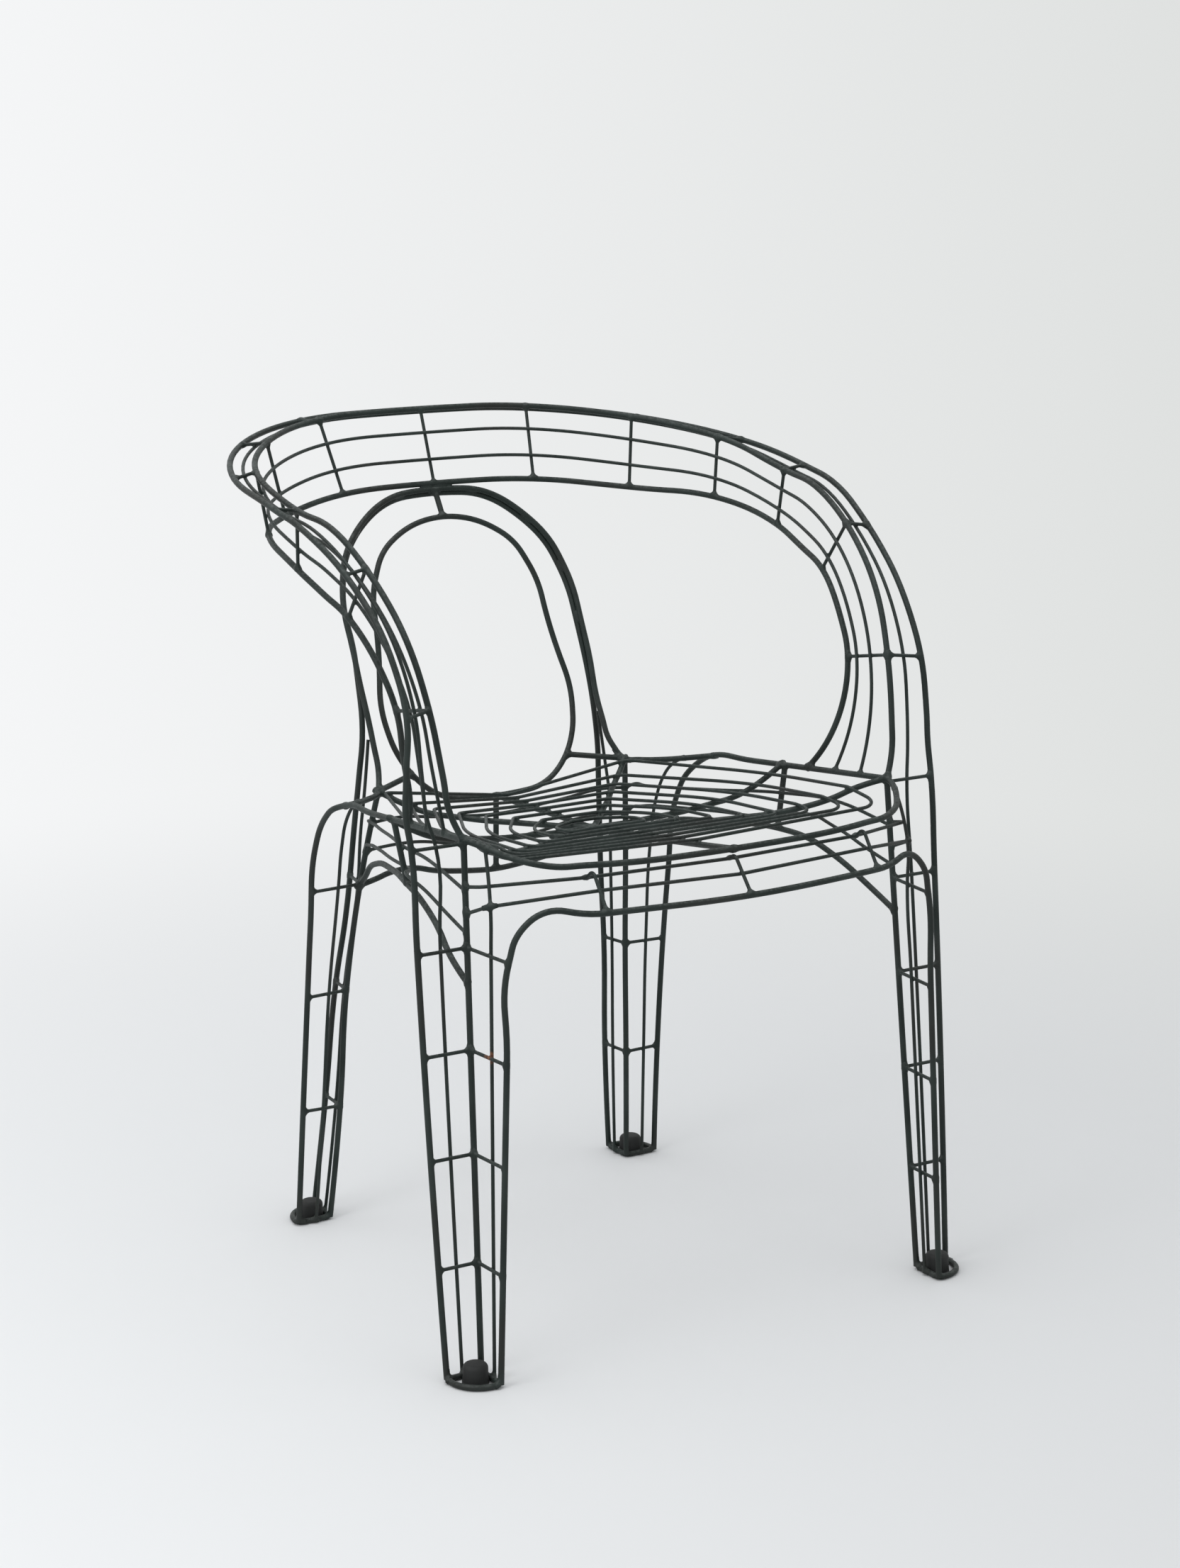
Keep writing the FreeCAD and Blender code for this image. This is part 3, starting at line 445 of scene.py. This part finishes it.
def crowded_samples(rods):
    """For each rod, which of its samples share a small cell with a sample of another rod, on any of
    eight grids that lie half a cell apart."""
    clouds = np.concatenate([rod.cloud for rod in rods])
    owners = np.repeat(np.arange(len(rods)), [len(rod.cloud) for rod in rods])
    crowded = np.zeros(len(clouds), bool)
    for shift in itertools.product((0, 0.5), repeat=3):
        cells = np.floor(clouds / CELL + shift).astype(np.int64) + CELLS_ACROSS // 2
        keys = (cells[:, 0] * CELLS_ACROSS + cells[:, 1]) * CELLS_ACROSS + cells[:, 2]
        _, place = np.unique(keys, return_inverse=True)
        lowest = np.full(place.max() + 1, len(rods))
        highest = np.zeros(place.max() + 1, int)
        np.minimum.at(lowest, place, owners)
        np.maximum.at(highest, place, owners)
        crowded |= (lowest < highest)[place]
    ends = np.cumsum([len(rod.cloud) for rod in rods])[:-1]
    return np.split(crowded, ends)


def contacts_between(rods):
    """Places where rods touch, as pairs of rods with the points found near both."""
    points = [p for rod in rods for p in rod.points]
    owner = []
    faces = []
    offset = 0
    for index, rod in enumerate(rods):
        faces.extend([[i + offset for i in face] for face in rod.faces])
        owner.extend([index] * len(rod.faces))
        offset += len(rod.points)
    everything = BVHTree.FromPolygons(points, faces)
    found = {}
    for index, (rod, crowded) in enumerate(zip(rods, crowded_samples(rods))):
        for number in np.flatnonzero(crowded):
            point = rod.samples[number]
            near = {owner[hit[2]] for hit in everything.find_nearest_range(point, TOUCH)}
            for other in near - {index}:
                found.setdefault((min(index, other), max(index, other)), []).append(point)
    return found


def bead_places(points):
    """Middles of the groups that the contact points form. A long contact gets a stitch now and then."""
    points = sorted(points, key=lambda p: [round(value, PLACE_DIGITS) for value in (p.z, p.x, p.y)])
    extent = max((p - points[0]).length for p in points)
    spacing = STITCH_SPACING if extent > LONG_CONTACT else BEAD_SPACING
    groups = []
    for point in points:
        for group in groups:
            if (group[0] - point).length < spacing:
                group.append(point)
                break
        else:
            groups.append([point])
    middles = [sum(group, Vector()) / len(group) for group in groups]
    if extent < LONG_CONTACT:
        return middles
    return [min(group, key=lambda p: (p - middle).length) for group, middle in zip(groups, middles)]


def bar_distance(bar, centre, points):
    """Distances from points to the surface of a round bar, negative inside."""
    middle, axis, radius, ends = bar
    away = points - middle
    across = away - np.outer(away @ axis, axis)
    distance = np.linalg.norm(across, axis=1) - radius
    if ends:
        distance = np.maximum(distance, -(points - centre) @ axis - END_OVERLAP)
    return distance


def weld_bead(shape, ball, centre, first, second, blend):
    """Adds the fillet of weld metal between two rods: a closed shape round the middle of the joint.
    It lies just under the bare rods and swells where they are near each other."""
    ways, faces = ball
    centre = np.array(centre)
    bars = [rod.near(centre) for rod in (first, second)]
    butted = any(ends for _, _, _, ends in bars)
    blend *= BUTT_BLEND if butted else sum(radius for _, _, radius, _ in bars) / (2 * THICK_RADIUS)

    def outside(lengths):
        points = centre + ways * lengths[:, None]
        a, b = (bar_distance(bar, centre, points) for bar in bars)
        overlap = np.maximum(blend - abs(a - b), 0) / blend
        return np.minimum(a, b) - overlap ** 2 * blend / 4 + BEAD_SINK * (1 - overlap) > 0

    if outside(np.zeros(len(ways))).any():
        return
    low = np.zeros(len(ways))
    high = np.full(len(ways), BEAD_REACH)
    open_ways = np.ones(len(ways), bool)
    for step in range(1, BEAD_STEPS + 1):
        length = BEAD_REACH * step / BEAD_STEPS
        out = outside(np.full(len(ways), length))
        high[open_ways & out] = length
        open_ways &= ~out
        low[open_ways] = length
    for _ in range(BISECTIONS):
        middle = (low + high) / 2
        out = outside(middle)
        high[out] = middle[out]
        low[~out] = middle[~out]
    places = centre + ways * low[:, None]
    places[:, 2] = np.maximum(places[:, 2], FLOOR_GAP)
    corners = [shape.verts.new(place) for place in places]
    for face in faces:
        shape.faces.new([corners[i] for i in face])


def unit_ball():
    """Directions and faces of a ball of triangles."""
    ball = bmesh.new()
    bmesh.ops.create_icosphere(ball, subdivisions=BEAD_ROUNDS, radius=1.0)
    ways = np.array([vertex.co for vertex in ball.verts])
    faces = [[vertex.index for vertex in face.verts] for face in ball.faces]
    ball.free()
    return ways, faces


def region_of(place):
    """Name of the part of the chair that a weld belongs to."""
    side = "right" if place.x > 0 else "left"
    if place.z > HOOP_Z:
        return "welds_hoop_" + side if abs(place.x) > HOOP_X or place.y > HOOP_Y else "welds_backrest"
    if place.z < LEG_Z:
        return "welds_leg_" + ("front_" if place.y < 0 else "rear_") + side
    if abs(place.x) < SEAT_X and place.z < SEAT_Z and SEAT_Y[0] < place.y < SEAT_Y[1]:
        return "welds_seat"
    return "welds_apron_" + side


def find_joints():
    """Every place where two rods meet: the place and the two rods."""
    rods = []
    for name in sorted(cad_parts):
        if not name.startswith("foot_plug"):
            rods.extend(solids_of(name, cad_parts[name]))
    joints = []
    for (i, j), points in sorted(contacts_between(rods).items()):
        joints.extend((place, rods[i], rods[j]) for place in bead_places(points))
    return joints


def rusty_place(joints):
    """The joint where the paint has chipped: a bar and the strand on the left front leg."""
    rods = {"front_leg_bars_left", "front_leg_strand_left"}
    places = [place for place, first, second in joints if {first.name, second.name} == rods]
    return min(places, key=lambda place: abs(place.z - RUST_HEIGHT))


def build_welds(joints, paint):
    """Weld beads at every joint of the rods, as one piece for each part of the chair."""
    random.seed(WELD_SEED)
    ball = unit_ball()
    shapes = {}
    for place, first, second in joints:
        shape = shapes.setdefault(region_of(place), bmesh.new())
        blend = BEAD_BLEND * (1 + BEAD_SPREAD * random.uniform(-1, 1))
        weld_bead(shape, ball, place, first, second, blend)
    for name in sorted(shapes):
        mesh = bpy.data.meshes.new(name)
        shapes[name].to_mesh(mesh)
        shapes[name].free()
        mesh.shade_smooth()
        mesh.materials.append(paint)
        piece = bpy.data.objects.new(name, mesh)
        bpy.context.scene.collection.objects.link(piece)
        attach(piece, "root")


def backdrop_share(tree, sight):
    """How far across the studio a line of sight from the photographer's place points: the light
    falls off from 0 on the left to 1 on the right."""
    way = node(tree, "ShaderNodeVectorMath", {"operation": "NORMALIZE"}, {0: sight})
    across = node(tree, "ShaderNodeVectorMath", {"operation": "DOT_PRODUCT"},
                  {0: way.outputs["Vector"], 1: BACKDROP_ACROSS})
    share = node(tree, "ShaderNodeMapRange", {},
                 {"Value": across.outputs["Value"], "From Min": -BACKDROP_HALF,
                  "From Max": BACKDROP_HALF})
    return share.outputs["Result"]


def build_floor():
    """Round pale floor whose colour fades into the backdrop. Its colour carries painted light, lighter
    on the left and darker on the right, and far out it glows with the backdrop's colour.
    """
    shape = bmesh.new()
    bmesh.ops.create_circle(shape, cap_ends=True, radius=FLOOR_RADIUS, segments=FLOOR_SIDES)
    mesh = bpy.data.meshes.new("floor")
    shape.to_mesh(mesh)
    shape.free()
    floor = bpy.data.objects.new("floor", mesh)
    bpy.context.scene.collection.objects.link(floor)
    new, tree, shader, place = material("studio_paper")
    sight = node(tree, "ShaderNodeVectorMath", {"operation": "SUBTRACT"}, {0: place, 1: CAMERA_PLACE})
    share = backdrop_share(tree, sight.outputs["Vector"])
    # Painted light on the floor: the paper is lighter on the left and darker on the right, as the
    # studio light falls off.
    paper = node(tree, "ShaderNodeMix", COLOURS,
                 {0: share, FIRST: linear(PAPER_LIT_LEFT), SECOND: linear(PAPER_SHADED_RIGHT)})
    tree.links.new(paper.outputs[MIXED], shader.inputs["Base Color"])
    shader.inputs["Roughness"].default_value = FLOOR_ROUGHNESS
    shader.inputs["Specular IOR Level"].default_value = FLOOR_SPECULAR
    # Painted light on the backdrop that the far floor turns into: lighter on the left, darker on the
    # right. Past the fade the floor glows with it instead of taking light.
    backdrop = node(tree, "ShaderNodeMix", COLOURS,
                    {0: share, FIRST: linear(BACKDROP_LIT_LEFT), SECOND: linear(BACKDROP_SHADED_RIGHT)})
    glow = node(tree, "ShaderNodeEmission", {}, {"Color": backdrop.outputs[MIXED]})
    distance = node(tree, "ShaderNodeVectorMath", {"operation": "LENGTH"}, {0: place})
    far = node(tree, "ShaderNodeMapRange", SOFT,
               {"Value": distance.outputs["Value"], "From Min": FLOOR_FADE_START,
                "From Max": FLOOR_FADE_END})
    both = node(tree, "ShaderNodeMixShader", {},
                {0: far.outputs["Result"], 1: shader.outputs["BSDF"], 2: glow.outputs["Emission"]})
    tree.links.new(both.outputs["Shader"], tree.nodes["Material Output"].inputs["Surface"])
    mesh.materials.append(new)


def build_world():
    """Even light from all round. The camera and glossy surfaces see the pale backdrop."""
    world = bpy.data.worlds.new("studio")
    bpy.context.scene.world = world
    world.use_nodes = True
    tree = world.node_tree
    light = tree.nodes["Background"]
    light.inputs["Color"].default_value = linear(SKY)
    light.inputs["Strength"].default_value = SKY_STRENGTH
    share = backdrop_share(tree, node(tree, "ShaderNodeTexCoord", {}, {}).outputs["Generated"])
    # The backdrop that the camera and glossy rays see has painted light: lighter on the left, darker on
    # the right.
    backdrop = node(tree, "ShaderNodeMix", COLOURS,
                    {0: share, FIRST: linear(BACKDROP_LIT_LEFT), SECOND: linear(BACKDROP_SHADED_RIGHT)})
    seen = node(tree, "ShaderNodeBackground", {}, {"Color": backdrop.outputs[MIXED]})
    path = node(tree, "ShaderNodeLightPath", {}, {})
    gloss = node(tree, "ShaderNodeMath", {"operation": "ADD"},
                 {0: path.outputs["Is Glossy Ray"], 1: path.outputs["Is Transmission Ray"]})
    sight = node(tree, "ShaderNodeMath", {"operation": "ADD", "use_clamp": True},
                 {0: path.outputs["Is Camera Ray"], 1: gloss.outputs["Value"]})
    both = node(tree, "ShaderNodeMixShader", {},
                {0: sight.outputs["Value"], 1: light.outputs["Background"],
                 2: seen.outputs["Background"]})
    tree.links.new(both.outputs["Shader"], tree.nodes["World Output"].inputs["Surface"])


def add_lamp(name, place, target, size, power):
    lamp = bpy.data.lights.new(name, "AREA")
    lamp.shape = "DISK"
    lamp.size = size
    lamp.energy = power
    lamp.color = linear(LAMP)[:3]
    item = bpy.data.objects.new(name, lamp)
    item.location = place
    item.rotation_euler = (Vector(target) - Vector(place)).to_track_quat("-Z", "Y").to_euler()
    bpy.context.scene.collection.objects.link(item)


def build_lamps():
    """Two soft boxes: a large one overhead and a weaker one on the left of the camera."""
    add_lamp("overhead", OVERHEAD_PLACE, OVERHEAD_TARGET, OVERHEAD_SIZE, OVERHEAD_POWER)
    add_lamp("side", SIDE_PLACE, SIDE_TARGET, SIDE_SIZE, SIDE_POWER)


def build_camera():
    data = bpy.data.cameras.new("camera")
    data.sensor_fit = "HORIZONTAL"
    data.sensor_width = CAMERA_SENSOR
    data.lens = CAMERA_LENS
    camera = bpy.data.objects.new("camera", data)
    camera.location = CAMERA_PLACE
    camera.rotation_euler = Euler([math.radians(angle) for angle in CAMERA_TURN])
    bpy.context.scene.collection.objects.link(camera)
    bpy.context.scene.camera = camera


build_camera()
bpy.context.scene.view_settings.view_transform = "Standard"
build_world()
build_lamps()
build_floor()
all_joints = find_joints()
coat = painted_steel(rusty_place(all_joints))
dress_nodes(coat)
build_welds(all_joints, coat)
